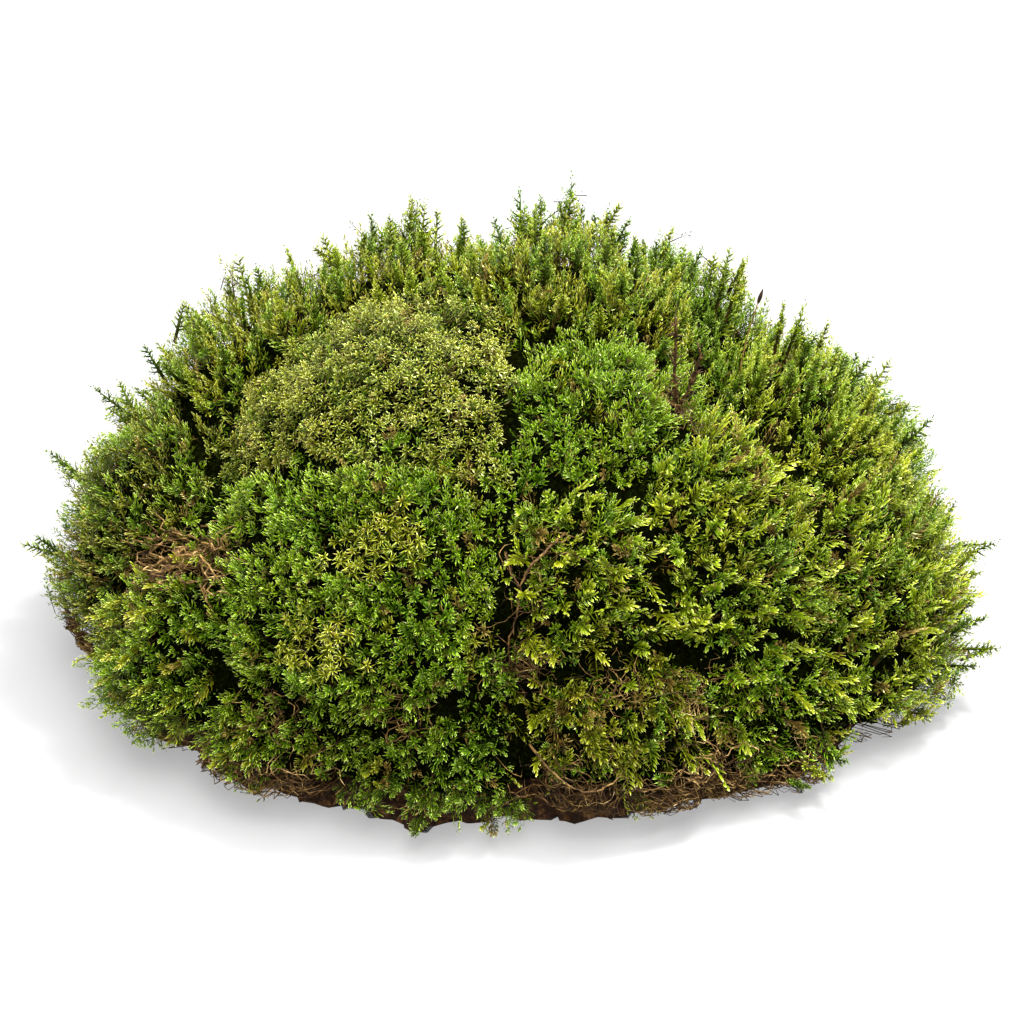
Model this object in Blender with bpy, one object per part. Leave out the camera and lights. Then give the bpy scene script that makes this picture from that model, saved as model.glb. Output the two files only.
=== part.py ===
"""Moss clump: a dome of wild mosses on the mat of soil and roots that it was lifted with.

The soil mat is a low mound with a flat underside. Cushions of moss stand on it side by side, each a
separate colony with its own bulge, parted from its neighbours by a crevice. Taller fronds grow out of
the cushions, and dead stems, roots and one spore capsule on its stalk stand in the crevices.

Metres, +Z up, and the photographed side faces -Y. A place on the dome is given by a bearing, in degrees
from the front (-Y) towards the right (+X), and a rise, in degrees up from the ground.
"""

import math

import bmesh
import bpy
from mathutils import Matrix, Vector, noise
from mathutils.bvhtree import BVHTree

# The dome that the moss tips reach
HALF_WIDTH = 0.090
HALF_DEPTH = 0.077
HEIGHT = 0.076

# The soil mat under the cushions
SOIL_DEPTH = 0.0155  # from the moss tips down to the soil
SOIL_LUMP = 0.0022  # how far its lumps stand out
SOIL_LUMP_SPACING = 0.016
SOIL_SKIRT = 0.0035  # how far it spreads where it meets the ground
SOIL_SKIRT_HEIGHT = 0.012
SOIL_SKIRT_LUMP = 0.9  # share of the skirt that its lumps add or take
SOIL_SKIRT_LUMP_SPACING = 0.012
SOIL_FRONT = 0.0045  # how much further the skirt spreads at the front, where it shows
SOIL_FRONT_BEARING = 12
SOIL_RINGS = (0, 5, 15, 30, 48, 68)
SOIL_SEGMENTS = 30

# Every cushion
GAP = 0.0004  # between two cushions, and between a cushion and the soil
LUMP = 0.0016
LUMP_SPACING = 0.013
TUFT = 0.0021  # height of a tuft of shoots
TUFT_SPREAD = 0.45  # how much tuft heights differ
TUFT_SPREAD_SPACING = 0.0031
TUFT_SPACING = 0.0080
TUFT_OUTWARDS = 0.5  # how much a tuft grows out of the dome rather than square to its patch
TUFT_UPWARDS = 0.25
TUFT_FULL_PATCH = 1.6  # patches smaller than the spacing by this factor carry a smaller tuft
TUFT_REACH = 1.6  # tallest tuft, in tuft heights
BALL_POINTS = 1.8  # on a ball, for each square of its width that is one tuft spacing wide
BALL_JITTER = 0.14
FOOT_CLEARANCE = 0.0008  # left between the ground and a cushion that reaches it
FOOT_TILT = 0.05
SOIL_MARGIN = 0.97  # share of the soil's size inside which no tuft starts
SHORT_EDGE = 5e-5  # merged after the crevices are cut
SHORTEST_EDGE = 2e-5  # merged after the soil is cut out

# name: bearing, rise, radius, how far it stands past the dome, height of its foot, colour
CUSHIONS = {
    "cushion_olive_dome": (-38, 61, 0.0412, 0.0015, 0.0, "olive"),
    "cushion_front_dome": (-26, 33, 0.0405, 0.0035, 0.004, "bright"),
    "cushion_left_foot": (-52, 13, 0.0262, 0.0012, 0.007, "bright"),
    "cushion_left_flank": (-84, 24, 0.0322, 0.0018, 0.005, "deep"),
    "cushion_left_ridge": (-115, 48, 0.0300, 0.0042, 0.0, "olive"),
    "cushion_crown_left": (-146, 61, 0.0285, 0.0028, 0.0, "yellow"),
    "cushion_crown_right": (138, 77, 0.0310, 0.0040, 0.0, "yellow"),
    "cushion_bright_dome": (24, 63, 0.0308, -0.0002, 0.0, "bright"),
    "cushion_centre_fronds": (12, 37, 0.0285, -0.0005, 0.0, "feather"),
    "cushion_front_left_foot": (-32, 6, 0.0240, 0.0012, 0.002, "bright"),
    "cushion_front_foot": (-11, 7, 0.0270, 0.0016, 0.0012, "deep"),
    "cushion_front_right_foot": (15, 11, 0.0265, 0.0012, 0.006, "feather"),
    "cushion_right_foot": (38, 9, 0.0262, 0.0002, 0.005, "bright"),
    "cushion_right_hem": (62, 5, 0.0245, 0.0022, 0.002, "feather"),
    "cushion_right_middle": (40, 39, 0.0308, 0.0005, 0.0, "feather"),
    "cushion_right_flank": (70, 19, 0.0310, 0.0020, 0.006, "feather"),
    "cushion_right_shoulder": (88, 42, 0.0300, 0.0000, 0.0, "yellow"),
    "cushion_back_right_ridge": (136, 56, 0.0285, 0.0018, 0.0, "deep"),
    "cushion_back_right": (114, 20, 0.0355, 0.0018, 0.003, "deep"),
    "cushion_back": (156, 24, 0.0352, 0.0010, 0.0035, "feather"),
    "cushion_back_left": (-158, 26, 0.0368, 0.0010, 0.002, "olive"),
    "cushion_left_back": (-118, 15, 0.0330, 0.0012, 0.004, "bright"),
}

# Fronds that stand clear of the cushion they grow from: bearing, rise, length, lean outwards
FRONDS = (
    (161, 68, 0.0118, 0.2),
    (176, 69, 0.0090, 0.0),
    (169, 68, 0.0088, 0.1),
    (152, 64, 0.0070, 0.4),
    (140, 60, 0.0055, 0.5),
    (122, 57, 0.0060, 0.6),
    (107, 60, 0.0068, 0.5),
    (-152, 65, 0.0080, 0.1),
    (-141, 62, 0.0075, 0.3),
    (-133, 59, 0.0060, 0.5),
    (-118, 50, 0.0095, 0.2),
    (-109, 46, 0.0065, 0.7),
    (-108, 30, 0.0065, 1.0),
    (-97, 23, 0.0065, 1.0),
    (-97, 10, 0.0050, 1.0),
    (93, 53, 0.0065, 0.5),
    (112, 32, 0.0055, 0.7),
    (90, 33, 0.0050, 0.9),
    (82, 17, 0.0060, 1.0),
    (72, 8, 0.0055, 1.1),
    (37, 5, 0.0050, 1.4),
    (-8, 6, 0.0050, 1.4),
    (170, 34, 0.0085, 0.8),
    (-163, 42, 0.0080, 0.7),
    (-121, 22, 0.0070, 0.9),
)
FROND_STEM = 0.0008
FROND_STEM_TAPER = 0.75
FROND_WHORLS = 3
FROND_FIRST_WHORL = 0.30  # share of the frond below its branches
FROND_BRANCH = 0.30  # length of the lowest branch, as a share of the part that stands clear
FROND_BRANCH_TAPER = 0.55
FROND_BRANCH_WAY = (0.8, 0.75)  # outwards and along
FROND_OUTWARDS = 0.35  # how much an upright frond still follows the dome
FROND_ROOT = 0.0045  # how deep a frond starts in its cushion
RAY_START = 0.02  # above the dome, where a place on the moss is looked for

# Stems and roots: path as (bearing, rise, height over the moss)
DEAD_STEM = ((48, 60, -0.011), (48, 61.5, -0.004), (47, 63.5, 0.003), (47.5, 66.5, 0.0125))
DEAD_STEM_SIDE = ((48, 61.5, -0.004), (50.5, 62, 0.002), (53, 62.6, 0.005), (57, 64, 0.0085))
FORKED_TWIG = (
    (9, 44, -0.003),
    (5, 40.5, 0.0012),
    (2, 37, 0.0014),
    (1, 32, 0.0016),
    (0, 27, 0.0012),
    (3, 23, -0.003),
)
FORKED_TWIG_SIDE = ((1.7, 35.5, 0.0016), (0.3, 38, 0.0022), (-0.5, 41, 0.0018))
ROOT_LEFT = ((-60, 27, -0.003), (-55, 30, 0.0012), (-50, 33, 0.0016), (-44, 33, 0.0014), (-40, 30, -0.003))
ROOT_FRONT = ((2.5, 14, -0.003), (5, 11, 0.0013), (8, 9.2, 0.0016), (11, 10, 0.0014), (15, 13.5, -0.003))
TWIG_THICK = 0.0011
ROOT_THICK = 0.0009
STEM_SIDES = 6
STEM_STEPS = 3  # between two places of a path
STEM_TAPER = 0.45  # thickness at the tip, as a share of the thickness at the foot
STEM_KNOBS = 0.12  # share of the thickness that knobs add or take
BRANCH_KNOBS = 0.1
KNOB_SPACING = 2.4  # radians of the wave from one ring to the next
CLEARANCE = 0.0003  # left round a stem where it passes through a cushion

# Spore capsule on its stalk
STALK = ((72.5, 58, -0.006), (72.5, 59.7, 0.001), (73.2, 61.2, 0.008), (75, 62.2, 0.0165))
STALK_THICK = 0.0007
CAPSULE_NECK = 0.0003
CAPSULE_LENGTH = 0.0030
CAPSULE_THICK = 0.0012
CAPSULE_PROFILE = ((0.0, 0.55), (0.3, 1.0), (0.62, 0.92), (0.82, 0.5), (1.0, 0.16))  # length, thickness

# name: sRGB colour, roughness
COLOURS = {
    "olive": ((0.47, 0.48, 0.14), 0.6),
    "bright": ((0.36, 0.50, 0.10), 0.55),
    "deep": ((0.28, 0.40, 0.08), 0.6),
    "yellow": ((0.56, 0.56, 0.16), 0.6),
    "feather": ((0.50, 0.55, 0.17), 0.55),
    "soil": ((0.25, 0.18, 0.10), 0.95),
    "twig": ((0.33, 0.21, 0.13), 0.8),
    "root": ((0.47, 0.34, 0.21), 0.85),
    "capsule": ((0.30, 0.17, 0.09), 0.45),
}


def dome_point(bearing, rise, height=0.0):
    """A place on the dome of the moss tips, or that much above it."""
    b, r = math.radians(bearing), math.radians(rise)
    return Vector(
        (
            (HALF_WIDTH + height) * math.sin(b) * math.cos(r),
            -(HALF_DEPTH + height) * math.cos(b) * math.cos(r),
            (HEIGHT + height) * math.sin(r),
        )
    )


def dome_outwards(point):
    """The direction out of the dome at a point."""
    x, y, z = point
    return Vector((x / HALF_WIDTH**2, y / HALF_DEPTH**2, max(z, 0) / HEIGHT**2)).normalized()


def material(name):
    colour, roughness = COLOURS[name]
    made = bpy.data.materials.get(name)
    if made:
        return made
    made = bpy.data.materials.new(name)
    made.use_nodes = True
    shader = made.node_tree.nodes["Principled BSDF"]
    linear = [(c / 12.92 if c <= 0.04045 else ((c + 0.055) / 1.055) ** 2.4) for c in colour]
    shader.inputs["Base Color"].default_value = (*linear, 1)
    shader.inputs["Roughness"].default_value = roughness
    shader.inputs["Metallic"].default_value = 0.0
    return made


def add_object(name, bm, colour, helper=False):
    """Puts the mesh in the scene. A helper is a cutter, and isn't part of the clump."""
    bmesh.ops.recalc_face_normals(bm, faces=bm.faces)
    mesh = bpy.data.meshes.new(name)
    bm.to_mesh(mesh)
    bm.free()
    obj = bpy.data.objects.new(name, mesh)
    bpy.context.scene.collection.objects.link(obj)
    if helper:
        obj.hide_render = True
        obj.display_type = "WIRE"
    else:
        mesh.materials.append(material(colour))
    return obj


def boolean(obj, other, operation):
    modifier = obj.modifiers.new(operation.title() + " " + other.name, "BOOLEAN")
    modifier.operation = operation
    modifier.solver = "EXACT"
    modifier.object = other


def soil_mound(gap=0.0):
    """The mound of soil, with a lumpy top, a skirt that spreads on the ground and a flat underside."""
    bm = bmesh.new()
    depth = SOIL_DEPTH + gap
    rings = []
    for rise in SOIL_RINGS:
        ring = []
        for i in range(SOIL_SEGMENTS):
            bearing = (i + 0.5 * (len(rings) % 2)) * 360 / SOIL_SEGMENTS
            place = dome_point(bearing, rise, -depth)
            lump = SOIL_LUMP * 2 * noise.noise(place / SOIL_LUMP_SPACING + Vector((3.1, 0, 0.4)))
            low = max(0.0, 1 - place.z / SOIL_SKIRT_HEIGHT)
            front = max(0.0, math.cos(math.radians(bearing - SOIL_FRONT_BEARING))) ** 2
            ragged = 1 + SOIL_SKIRT_LUMP * noise.noise(place / SOIL_SKIRT_LUMP_SPACING)
            skirt = low * (SOIL_SKIRT + SOIL_FRONT * front) * ragged
            place += dome_outwards(place) * (lump + skirt)
            if not rings:
                place.z = 0.0
            ring.append(bm.verts.new(place))
        rings.append(ring)
    top = bm.verts.new(dome_point(0, 90, -depth))
    for number, (low, high) in enumerate(zip(rings, rings[1:])):
        for i in range(SOIL_SEGMENTS):
            j = (i + 1) % SOIL_SEGMENTS
            if number % 2 == 0:
                bm.faces.new((low[i], low[j], high[i]))
                bm.faces.new((low[j], high[j], high[i]))
            else:
                bm.faces.new((low[i], low[j], high[j]))
                bm.faces.new((low[i], high[j], high[i]))
    for i in range(SOIL_SEGMENTS):
        bm.faces.new((rings[-1][i], rings[-1][(i + 1) % SOIL_SEGMENTS], top))
    bm.faces.new(rings[0][::-1])
    return bm


def cushion_centre(name):
    bearing, rise, radius, proud, _, _ = CUSHIONS[name]
    return dome_point(bearing, rise, proud - radius)


def dividing_planes(name):
    """Where a cushion stops against its neighbours: (point, normal out of the cushion) for each."""
    centre, radius = cushion_centre(name), CUSHIONS[name][2]
    planes = []
    for other in CUSHIONS:
        if other == name:
            continue
        way = cushion_centre(other) - centre
        apart, other_radius = way.length, CUSHIONS[other][2]
        reach = (apart**2 + radius**2 - other_radius**2) / (2 * apart)
        near = apart < radius + other_radius + 2 * (LUMP + TUFT)
        if near and reach < radius + LUMP + TUFT * TUFT_REACH:
            way.normalize()
            planes.append((centre + way * (reach - GAP / 2), way))
    return planes


def cut_off(bm, point, normal):
    """Cuts away all that lies past a plane and closes the cut with one flat face."""
    cut = bmesh.ops.bisect_plane(
        bm,
        geom=bm.verts[:] + bm.edges[:] + bm.faces[:],
        dist=1e-7,
        plane_co=point,
        plane_no=normal,
        clear_outer=True,
    )
    rim = [e for e in cut["geom_cut"] if isinstance(e, bmesh.types.BMEdge)]
    if rim:
        bmesh.ops.edgeloop_fill(bm, edges=rim)


def raise_tufts(bm, grown, planes, seed, foot):
    """Draws each patch of moss out into a pointed tuft that stays on its own side of the crevices."""
    inside = Vector((HALF_WIDTH - SOIL_DEPTH, HALF_DEPTH - SOIL_DEPTH, HEIGHT - SOIL_DEPTH))
    patches = []
    for face in bm.faces:
        middle = face.calc_center_median()
        in_soil = Vector((middle[i] / inside[i] for i in range(3))).length < SOIL_MARGIN
        if face[grown] == 1 and not in_soil:
            patches.append(face)
    for face in patches:
        size = min(1.0, TUFT_FULL_PATCH * math.sqrt(face.calc_area()) / TUFT_SPACING)
        normal = face.normal.copy()
        middle = face.calc_center_median()
        made = bmesh.ops.poke(bm, faces=[face])
        apex = made["verts"][0]
        vary = noise.noise(middle / TUFT_SPREAD_SPACING + Vector((seed, 0, 0)))
        growth = (normal + TUFT_OUTWARDS * dome_outwards(middle) + Vector((0, 0, TUFT_UPWARDS))).normalized()
        apex.co = middle + growth * TUFT * size * (1 + TUFT_SPREAD * vary * 2)
        for point, way in planes:
            past = (apex.co - point).dot(way)
            if past > -GAP / 2:
                apex.co -= way * (past + GAP / 2)
        if apex.co.z < foot:
            apex.co.z = foot


def frond_mesh(root, out, length, lean):
    """A moss shoot like a small fir: a square stem whose sides are drawn out into whorls of branches."""
    along = (Vector((0, 0, 1)) * (1 - lean) + out * (FROND_OUTWARDS + lean)).normalized()
    side = along.orthogonal().normalized()
    other = along.cross(side)
    total = length + FROND_ROOT
    bm = bmesh.new()
    rings = []
    for step in range(FROND_WHORLS + 2):
        share = step / (FROND_WHORLS + 2)
        middle = root + along * total * (FROND_FIRST_WHORL * (step > 0) + (1 - FROND_FIRST_WHORL) * share)
        thick = FROND_STEM * (1 - FROND_STEM_TAPER * share)
        rings.append(
            [
                bm.verts.new(middle + (side * math.cos(a) + other * math.sin(a)) * thick)
                for a in (i * math.pi / 2 for i in range(4))
            ]
        )
    tip = bm.verts.new(root + along * total)
    whorls = []
    for step, (low, high) in enumerate(zip(rings, rings[1:])):
        for i in range(4):
            face = bm.faces.new((low[i], low[(i + 1) % 4], high[(i + 1) % 4], high[i]))
            if step:
                whorls.append((face, step))
    for i in range(4):
        bm.faces.new((rings[-1][i], rings[-1][(i + 1) % 4], tip))
    bm.faces.new(rings[0][::-1])
    bm.normal_update()
    outwards, onwards = FROND_BRANCH_WAY
    for face, step in whorls:
        middle, normal = face.calc_center_median(), face.normal.copy()
        apex = bmesh.ops.poke(bm, faces=[face])["verts"][0]
        branch = length * FROND_BRANCH * (1 - FROND_BRANCH_TAPER * step / (FROND_WHORLS + 1))
        apex.co = middle + (normal * outwards + along * onwards) * branch
    return bm


def lumpy_ball(centre, radius, seed):
    """A ball with gentle lumps, in patches that are each a tuft wide."""
    bm = bmesh.new()
    count = round(BALL_POINTS * (2 * radius / TUFT_SPACING) ** 2)
    for i in range(count):
        height = 1 - (2 * i + 1) / count
        turn = i * 2.399963 + BALL_JITTER * math.sin(i * 12.9 + seed)  # the golden angle, a little uneven
        flat = math.sqrt(1 - height * height)
        bm.verts.new((flat * math.cos(turn), flat * math.sin(turn), height))
    bmesh.ops.convex_hull(bm, input=bm.verts)
    for v in bm.verts:
        way = v.co.normalized()
        lump = noise.noise((centre + way * radius) / LUMP_SPACING + Vector((seed, seed, 0)))
        v.co = centre + way * (radius + LUMP * 2 * lump)
    return bm


def cushion(name, mound):
    radius, _, foot, colour = CUSHIONS[name][2:]
    centre = cushion_centre(name)
    seed = 7.3 * list(CUSHIONS).index(name)
    bm = lumpy_ball(centre, radius, seed)
    grown = bm.faces.layers.int.new("grown")
    for face in bm.faces:
        face[grown] = 1
    planes = dividing_planes(name)
    for point, way in planes:
        cut_off(bm, point, way)
    tilted = Vector((FOOT_TILT * math.sin(seed), FOOT_TILT * math.cos(seed), -1))
    cut_off(bm, Vector((0, 0, foot + FOOT_CLEARANCE)), tilted)
    bmesh.ops.dissolve_degenerate(bm, dist=SHORT_EDGE, edges=bm.edges)
    made = add_object(name, bm, colour)
    boolean(made, mound, "DIFFERENCE")
    bm = final_mesh(made)
    made.modifiers.clear()
    bmesh.ops.dissolve_degenerate(bm, dist=SHORTEST_EDGE, edges=bm.edges)
    bm.normal_update()
    grown = bm.faces.layers.int["grown"]
    surface = BVHTree.FromBMesh(bm)
    raise_tufts(bm, grown, planes, seed, max(foot, FOOT_CLEARANCE))
    bm.to_mesh(made.data)
    bm.free()
    return made, surface


def moss_point(cushions, bearing, rise, height=0.0):
    """The place on the moss at a bearing and rise, or that much above it, the way out and the cushion."""
    out = dome_outwards(dome_point(bearing, rise))
    hits = []
    for obj, surface in cushions:
        place, _, _, distance = surface.ray_cast(dome_point(bearing, rise, RAY_START), -out)
        if place:
            hits.append((distance, place, obj))
    if not hits:
        raise ValueError(f"no moss at bearing {bearing}, rise {rise}")
    _, place, obj = min(hits, key=lambda hit: hit[0])
    return place + out * height, out, obj


def grow_fronds(cushions):
    """Joins each frond to the cushion that it stands on."""
    for n, (bearing, rise, length, lean) in enumerate(FRONDS):
        root, out, grows_on = moss_point(cushions, bearing, rise, -FROND_ROOT)
        colour = grows_on.data.materials[0].name
        frond = add_object(f"frond_{n + 1}", frond_mesh(root, out, length, lean), colour, True)
        boolean(grows_on, frond, "UNION")


def smooth_path(points, steps):
    """A smooth line through the points."""
    ends = [points[0] * 2 - points[1], *points, points[-1] * 2 - points[-2]]
    line = []
    for a, b, c, d in zip(ends, ends[1:], ends[2:], ends[3:]):
        for i in range(steps):
            t = i / steps
            curve = (2 * a - 5 * b + 4 * c - d) * t * t + (3 * b - a - 3 * c + d) * t**3
            line.append(0.5 * (2 * b + (c - a) * t + curve))
    line.append(points[-1])
    return line


def add_ring(bm, middle, side, other, radius, sides):
    """The corners of one cross-section of a stem."""
    turns = (k * 2 * math.pi / sides for k in range(sides))
    return [bm.verts.new(middle + (side * math.cos(a) + other * math.sin(a)) * radius) for a in turns]


def skin_rings(bm, rings):
    """Closes the rings of a stem into one solid."""
    sides = len(rings[0])
    for low, high in zip(rings, rings[1:]):
        for k in range(sides):
            bm.faces.new((low[k], low[(k + 1) % sides], high[(k + 1) % sides], high[k]))
    bm.faces.new(rings[0][::-1])
    bm.faces.new(rings[-1])


def tube(path, thick, knobs, gap=0.0):
    """A round, knobbly stem along the path, thinner towards its tip."""
    line = smooth_path(path, STEM_STEPS)
    bm = bmesh.new()
    rings = []
    side = None
    for i, point in enumerate(line):
        ahead = line[min(i + 1, len(line) - 1)] - line[max(i - 1, 0)]
        ahead.normalize()
        side = (side or ahead.orthogonal()).copy()
        side = (side - ahead * side.dot(ahead)).normalized()
        other = ahead.cross(side)
        share = i / (len(line) - 1)
        uneven = 1 + knobs * math.sin(KNOB_SPACING * i)
        radius = thick / 2 * (1 - (1 - STEM_TAPER) * share) * uneven + gap
        end = gap * ((i == len(line) - 1) - (i == 0))
        rings.append(add_ring(bm, point + ahead * end, side, other, radius, STEM_SIDES))
    skin_rings(bm, rings)
    return bm


def stalk_with_capsule(path, gap=0.0):
    """A wiry stalk with the spore capsule at its tip."""
    line = smooth_path(path, STEM_STEPS)
    up = (line[-1] - line[-2]).normalized()
    points = [(p, STALK_THICK / 2) for p in line]
    for share, width in CAPSULE_PROFILE:
        points.append((line[-1] + up * (CAPSULE_NECK + CAPSULE_LENGTH * share), CAPSULE_THICK / 2 * width))
    side = up.orthogonal().normalized()
    other = up.cross(side)
    bm = bmesh.new()
    skin_rings(bm, [add_ring(bm, p, side, other, r + gap, STEM_SIDES) for p, r in points])
    return bm


def stems(soil, cushions):
    """The dead stem, forked twig, roots and capsule, each with room made for it in what it passes through."""
    standing = [soil] + [obj for obj, _ in cushions]
    plans = (
        ("dead_stem", "twig", (DEAD_STEM, TWIG_THICK * 1.3), (DEAD_STEM_SIDE, TWIG_THICK)),
        ("forked_twig", "twig", (FORKED_TWIG, TWIG_THICK), (FORKED_TWIG_SIDE, TWIG_THICK * 0.8)),
        ("root_left", "root", (ROOT_LEFT, ROOT_THICK * 1.5), None),
        ("root_front", "root", (ROOT_FRONT, ROOT_THICK * 1.2), None),
    )
    for name, colour, (places, thick), side in plans:
        path = [moss_point(cushions, *place)[0] for place in places]
        made = add_object(name, tube(path, thick, STEM_KNOBS), colour)
        rooms = [add_object(name + "_room", tube(path, thick, STEM_KNOBS, CLEARANCE), colour, True)]
        if side:
            places, thick = side
            path = [moss_point(cushions, *place)[0] for place in places]
            branch = add_object(name + "_side", tube(path, thick, BRANCH_KNOBS), colour, True)
            boolean(made, branch, "UNION")
            room = tube(path, thick, BRANCH_KNOBS, CLEARANCE)
            rooms.append(add_object(name + "_side_room", room, colour, True))
        clear_room(standing, rooms)
    path = [moss_point(cushions, *place)[0] for place in STALK]
    add_object("spore_capsule", stalk_with_capsule(path), "capsule")
    room = add_object("spore_capsule_room", stalk_with_capsule(path, CLEARANCE), "capsule", True)
    clear_room(standing, [room])


def clear_room(standing, rooms):
    """Cuts each room out of whatever it passes through."""
    for room in rooms:
        low = Vector((min(v.co[i] for v in room.data.vertices) for i in range(3)))
        high = Vector((max(v.co[i] for v in room.data.vertices) for i in range(3)))
        for obj in standing:
            least = Vector((min(v.co[i] for v in obj.data.vertices) for i in range(3)))
            most = Vector((max(v.co[i] for v in obj.data.vertices) for i in range(3)))
            if all(low[i] < most[i] and high[i] > least[i] for i in range(3)):
                boolean(obj, room, "DIFFERENCE")


def final_mesh(obj):
    """The mesh that the cuts and joins leave, less any crumb that they part from the piece."""
    bpy.context.view_layer.update()
    evaluated = obj.evaluated_get(bpy.context.evaluated_depsgraph_get())
    bm = bmesh.new()
    bm.from_mesh(evaluated.to_mesh())
    evaluated.to_mesh_clear()
    loose, islands = set(bm.verts), []
    while loose:
        island, edge = set(), [loose.pop()]
        while edge:
            v = edge.pop()
            island.add(v)
            for e in v.link_edges:
                other = e.other_vert(v)
                if other in loose:
                    loose.discard(other)
                    edge.append(other)
        islands.append(island)
    islands.sort(key=len)
    if len(islands) > 1:
        print(obj.name, "crumbs of", [len(i) for i in islands[:-1]], "of", len(bm.verts))
    bmesh.ops.delete(bm, geom=[v for island in islands[:-1] for v in island], context="VERTS")
    return bm


def finish_pieces():
    """Makes the cuts and joins final."""
    made = {obj: final_mesh(obj) for obj in bpy.data.objects if not obj.hide_render}
    for obj, bm in made.items():
        obj.modifiers.clear()
        bm.to_mesh(obj.data)
        bm.free()
    for obj in list(bpy.data.objects):
        if obj.hide_render:
            bpy.data.objects.remove(obj)


def centre_on_origin():
    """Moves everything so that the clump stands on the ground with its middle over the origin."""
    points = [v.co for obj in bpy.data.objects for v in obj.data.vertices]
    low, high = (Vector((pick(p[i] for p in points) for i in range(3))) for pick in (min, max))
    shift = Vector((-(low.x + high.x) / 2, -(low.y + high.y) / 2, -low.z))
    print("moved by", [round(c * 1000, 3) for c in shift], "mm; size", [round(c * 1000, 1) for c in high - low])
    for obj in bpy.data.objects:
        obj.data.transform(Matrix.Translation(shift))


def main():
    for obj in list(bpy.data.objects):
        bpy.data.objects.remove(obj)
    soil = add_object("soil_mat", soil_mound(GAP), "soil")
    mound = add_object("mound_room", soil_mound(), "soil", True)
    cushions = [cushion(name, mound) for name in CUSHIONS]
    grow_fronds(cushions)
    stems(soil, cushions)
    finish_pieces()
    centre_on_origin()


main()
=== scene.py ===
# Moss clump: the leafy shoots, soil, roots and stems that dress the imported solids.
# Lengths in the dictionaries are millimetres unless a note says otherwise.
import math

import bpy
import numpy as np
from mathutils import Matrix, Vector, noise
from mathutils.bvhtree import BVHTree


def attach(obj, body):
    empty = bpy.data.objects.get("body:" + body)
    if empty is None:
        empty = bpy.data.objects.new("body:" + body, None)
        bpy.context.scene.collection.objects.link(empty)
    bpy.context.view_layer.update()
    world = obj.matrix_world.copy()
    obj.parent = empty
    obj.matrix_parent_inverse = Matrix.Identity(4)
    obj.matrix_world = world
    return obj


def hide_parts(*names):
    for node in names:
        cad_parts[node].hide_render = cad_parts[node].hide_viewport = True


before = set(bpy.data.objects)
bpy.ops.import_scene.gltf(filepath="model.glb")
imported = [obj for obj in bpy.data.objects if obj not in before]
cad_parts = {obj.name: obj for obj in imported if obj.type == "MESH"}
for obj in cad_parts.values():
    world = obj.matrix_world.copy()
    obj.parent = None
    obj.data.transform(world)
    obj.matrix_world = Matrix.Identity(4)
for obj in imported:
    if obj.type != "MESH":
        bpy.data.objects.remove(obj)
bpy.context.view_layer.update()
mm = 0.001
random = np.random.default_rng(11)

# The dome that the solids are laid out on: bearing from the front, rise from the ground
dome = {"halfWidth": 90, "halfDepth": 77, "height": 76, "middle": (-0.93, 4.7, 0)}


def domePoint(bearing, rise, above=0.0):
    b, r = math.radians(bearing), math.radians(rise)
    return mm * Vector((
        (dome["halfWidth"] + above) * math.sin(b) * math.cos(r) + dome["middle"][0],
        -(dome["halfDepth"] + above) * math.cos(b) * math.cos(r) + dome["middle"][1],
        (dome["height"] + above) * math.sin(r),
    ))


def domeWays(points):
    size = np.array([dome["halfWidth"], dome["halfDepth"], dome["height"]]) * mm
    return unit((points - np.array(dome["middle"]) * mm) / size**2)


def unit(ways):
    return ways / np.maximum(np.linalg.norm(ways, axis=-1, keepdims=True), 1e-9)


def patches(points, size, shift):
    return np.array([noise.noise(Vector(p) / (size * mm) + Vector((shift, 0, shift))) for p in points])


def colour(code):
    parts = [int(code[i:i + 2], 16) / 255 for i in (1, 3, 5)]
    return [c / 12.92 if c <= 0.04045 else ((c + 0.055) / 1.055) ** 2.4 for c in parts] + [1.0]


def addNode(tree, kind, settings=None, links=None):
    node = tree.nodes.new(kind)
    for name, value in (settings or {}).items():
        if name == "stops":
            elements = node.color_ramp.elements
            while len(elements) < len(value):
                elements.new(0.5)
            for element, (place, code) in zip(elements, value):
                element.position, element.color = place, colour(code)
        elif isinstance(name, int) or name in node.inputs:
            node.inputs[name].default_value = value
        else:
            setattr(node, name, value)
    for name, socket in (links or {}).items():
        tree.links.new(socket, node.inputs[name])
    return node


def newMaterial(name):
    made = bpy.data.materials.new(name)
    made.use_nodes = True
    made.node_tree.nodes.clear()
    return made, made.node_tree


# Colours of each moss, stem to leaf tip, with painted light: the near-black first step is partly painted shade deep
# among the shoots, and the pale last step is partly a painted highlight on the wet leaf tips. A pair is the greenest
# and the yellowest shoots.
mossesWithPaintedLight = {
    "olive": (("#0e1401", "#161801"), ("#2c3602", "#3e4003"), ("#606c0a", "#787814"), ("#c4ce80", "#d4d290")),
    "bright": (("#0a1801", "#131b01"), ("#2c4e02", "#485a02"), ("#70940a", "#8c9c14"), ("#d6e898", "#e2e8a8")),
    "deep": (("#071101", "#0e1501"), ("#264403", "#405203"), ("#5c800c", "#809416"), ("#ccde8e", "#dae09e")),
    "yellow": (("#161a02", "#1f1d02"), ("#404904", "#545404"), ("#7e8c16", "#9a9626"), ("#d0d68c", "#e0d89c")),
    "feather": (("#141e02", "#202202"), ("#456206", "#686e07"), ("#88a01e", "#acae30"), ("#e2ecaa", "#eee8b0")),
}
# Withered leaves in the same steps: the dark foot is partly painted shade, the pale tip partly a painted highlight
deadLeafWithPaintedLight = ("#161004", "#463616", "#7a662c", "#b8a668")
mossStem = "#301c0c"
band = {name: place for place, name in enumerate(mossesWithPaintedLight)}


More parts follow.
